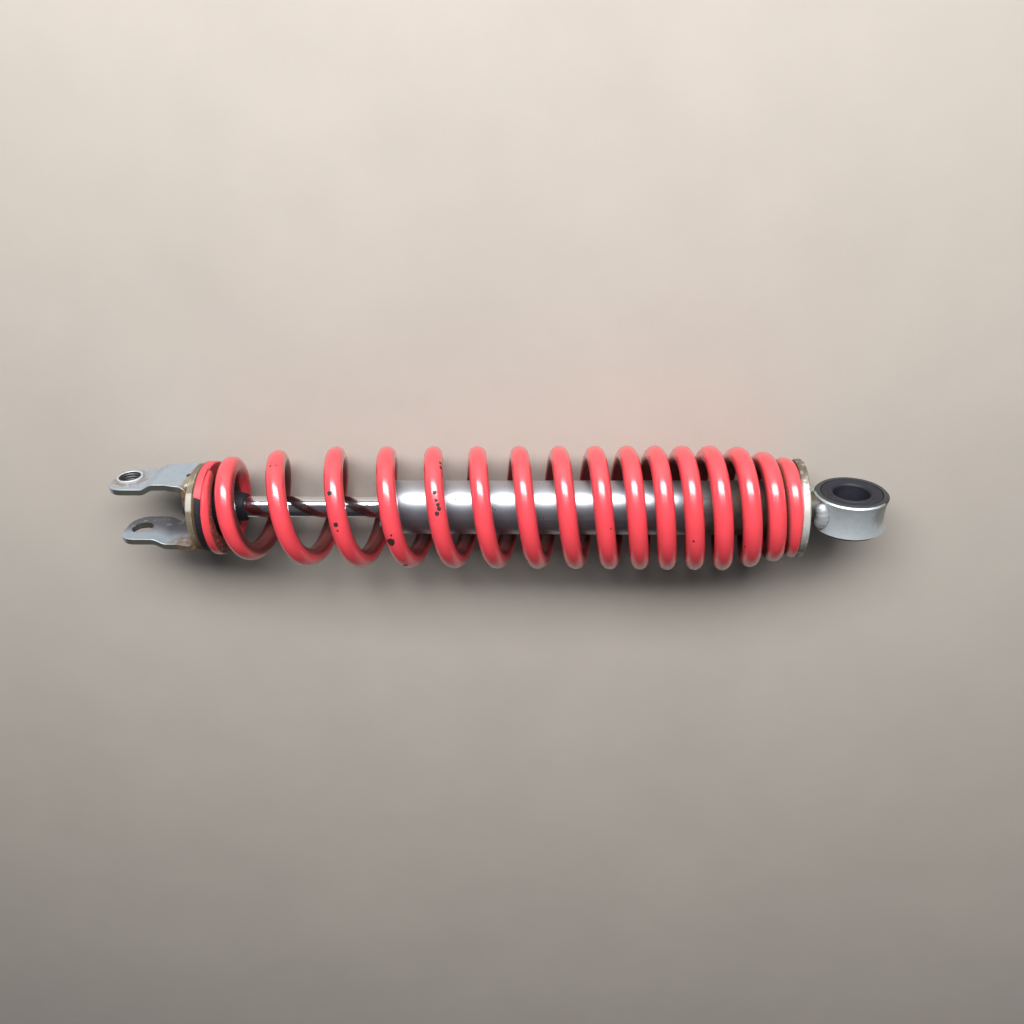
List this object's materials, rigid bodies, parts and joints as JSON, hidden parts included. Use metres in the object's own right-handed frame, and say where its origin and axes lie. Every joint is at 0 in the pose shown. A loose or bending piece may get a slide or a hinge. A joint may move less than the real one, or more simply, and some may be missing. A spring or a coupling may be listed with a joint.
{
  "type": "coil-over rear shock absorber",
  "caption": "Scooter rear shock: rubber-bushed eye on a sealed damper, chromed rod, variable-pitch red coil spring and a folded two-ear fork with one threaded ear.",
  "frame": {"origin": "centre of the eye's bore", "axes": "+X from the fork to the eye along the rod, +Y along the eye's bore and both bolt holes, +Z completes the frame"},
  "size_m": [0.354, 0.0564, 0.0564],
  "materials": {
    "damper_tube": "satin drawn steel, pitted",
    "tube_end_cap": "zinc plate gone dull",
    "eye_ring": "bright zinc plate",
    "eye_welds": "zinc plated weld",
    "eye_bush": "matt black rubber",
    "upper_spring_seat": "zinc plate with rust",
    "upper_seat_weld": "weld, rusty",
    "dust_wiper": "black rubber",
    "seal_washer": "plain steel",
    "oil_seal": "oily rubber",
    "rod_guide": "turned",
    "rod_bushing": "bronze liner",
    "guide_o_ring": "oily rubber",
    "guide_circlip": "spring steel",
    "coil_spring": "gloss red paint with chips",
    "floating_piston": "turned",
    "floating_piston_o_ring": "oily rubber",
    "spring_insulator": "black rubber, red overspray",
    "piston_rod": "hard chrome",
    "piston": "sintered iron",
    "piston_band": "filled fluoropolymer",
    "compression_shims": "spring steel",
    "rebound_shims": "spring steel",
    "top_out_washer": "plain steel",
    "rebound_washer": "plain steel",
    "piston_nut": "phosphated steel",
    "top_out_bumper": "oily rubber",
    "bump_stop": "black rubber",
    "lower_spring_seat": "yellowed zinc plate with rust",
    "clevis_bracket": "zinc plate with rust stains",
    "clevis_thread_bush": "bright zinc plate",
    "clevis_welds": "yellowed weld",
    "rod_end_nut": "dirty steel"
  },
  "bodies": {
    "damper_body": {"damper_tube": "damper_tube", "tube_end_cap": "tube_end_cap", "eye_ring": "eye_ring", "eye_welds": "eye_welds", "eye_bush": "eye_bush", "upper_spring_seat": "upper_spring_seat", "upper_seat_weld": "upper_seat_weld", "dust_wiper": "dust_wiper", "seal_washer": "seal_washer", "oil_seal": "oil_seal", "rod_guide": "rod_guide", "rod_bushing": "rod_bushing", "guide_o_ring": "guide_o_ring", "guide_circlip": "guide_circlip", "coil_spring": "coil_spring"},
    "gas_piston": {"floating_piston": "floating_piston", "floating_piston_o_ring": "floating_piston_o_ring"},
    "spring_lower_end": {"spring_insulator": "spring_insulator"},
    "rod_assembly": {"piston_rod": "piston_rod", "piston": "piston", "piston_band": "piston_band", "compression_shims": "compression_shims", "rebound_shims": "rebound_shims", "top_out_washer": "top_out_washer", "rebound_washer": "rebound_washer", "piston_nut": "piston_nut", "top_out_bumper": "top_out_bumper", "bump_stop": "bump_stop", "lower_spring_seat": "lower_spring_seat", "clevis_bracket": "clevis_bracket", "clevis_thread_bush": "clevis_thread_bush", "clevis_welds": "clevis_welds", "rod_end_nut": "rod_end_nut"}
  },
  "joints": [
    {"name": "compression", "type": "slide", "parent": "damper_body", "child": "spring_lower_end", "axis": [1, 0, 0], "range_m": [0, 0.06], "stiffness_N_per_m": 32000, "springref_m": -0.004, "deforming": ["coil_spring"]},
    {"name": "rod_swivel", "type": "hinge", "parent": "spring_lower_end", "child": "rod_assembly", "pos_m": [-0.2944, 0, 0], "axis": [1, 0, 0], "continuous": true},
    {"name": "gas_piston_slide", "type": "slide", "parent": "damper_body", "child": "gas_piston", "axis": [1, 0, 0], "range_m": [0, 0.0132]}
  ],
  "couplings": [
    {"joint": "gas_piston_slide", "follows": "compression", "ratio": 0.21633}
  ]
}
